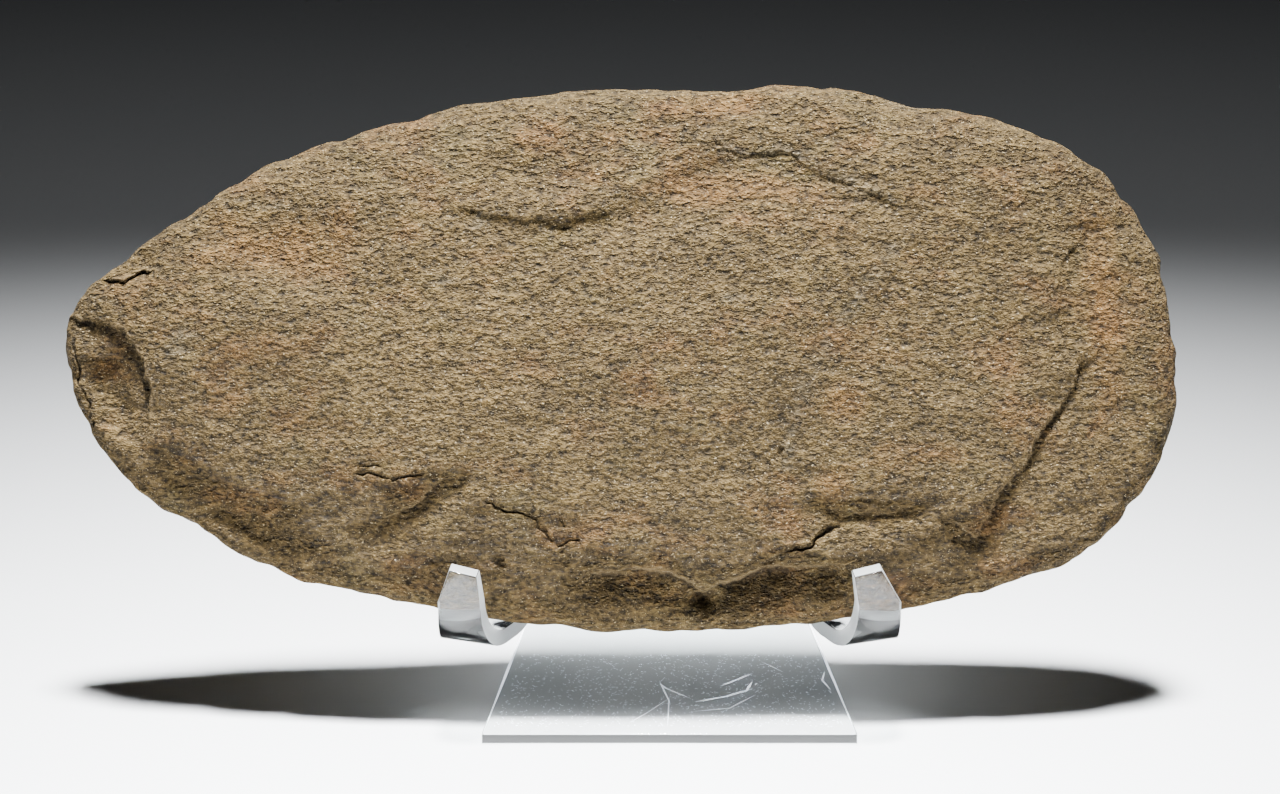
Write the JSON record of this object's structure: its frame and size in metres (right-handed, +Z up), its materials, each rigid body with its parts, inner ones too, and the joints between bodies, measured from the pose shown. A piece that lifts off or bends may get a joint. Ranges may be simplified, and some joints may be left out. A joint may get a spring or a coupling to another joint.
{
  "type": "stone celt on a display stand",
  "caption": "Large flaked stone celt, a flat pointed slab, leaning on its edge in a bent clear acrylic display stand with hooked arms.",
  "frame": {"origin": "on the floor, under the middle of the whole object's bounding box", "axes": "+X along the celt to its blunt end, +Y away from the viewer, +Z up"},
  "size_m": [0.33, 0.119, 0.1782],
  "materials": {
    "celt_stone": "rough, coarse-grained split stone, olive tan with orange and grey stains",
    "clear_acrylic": "clear polished acrylic sheet, frosted where its edges were sawn, finely scratched"
  },
  "bodies": {
    "root": {"display_stand": "clear_acrylic", "stone_celt": "celt_stone"}
  },
  "joints": []
}
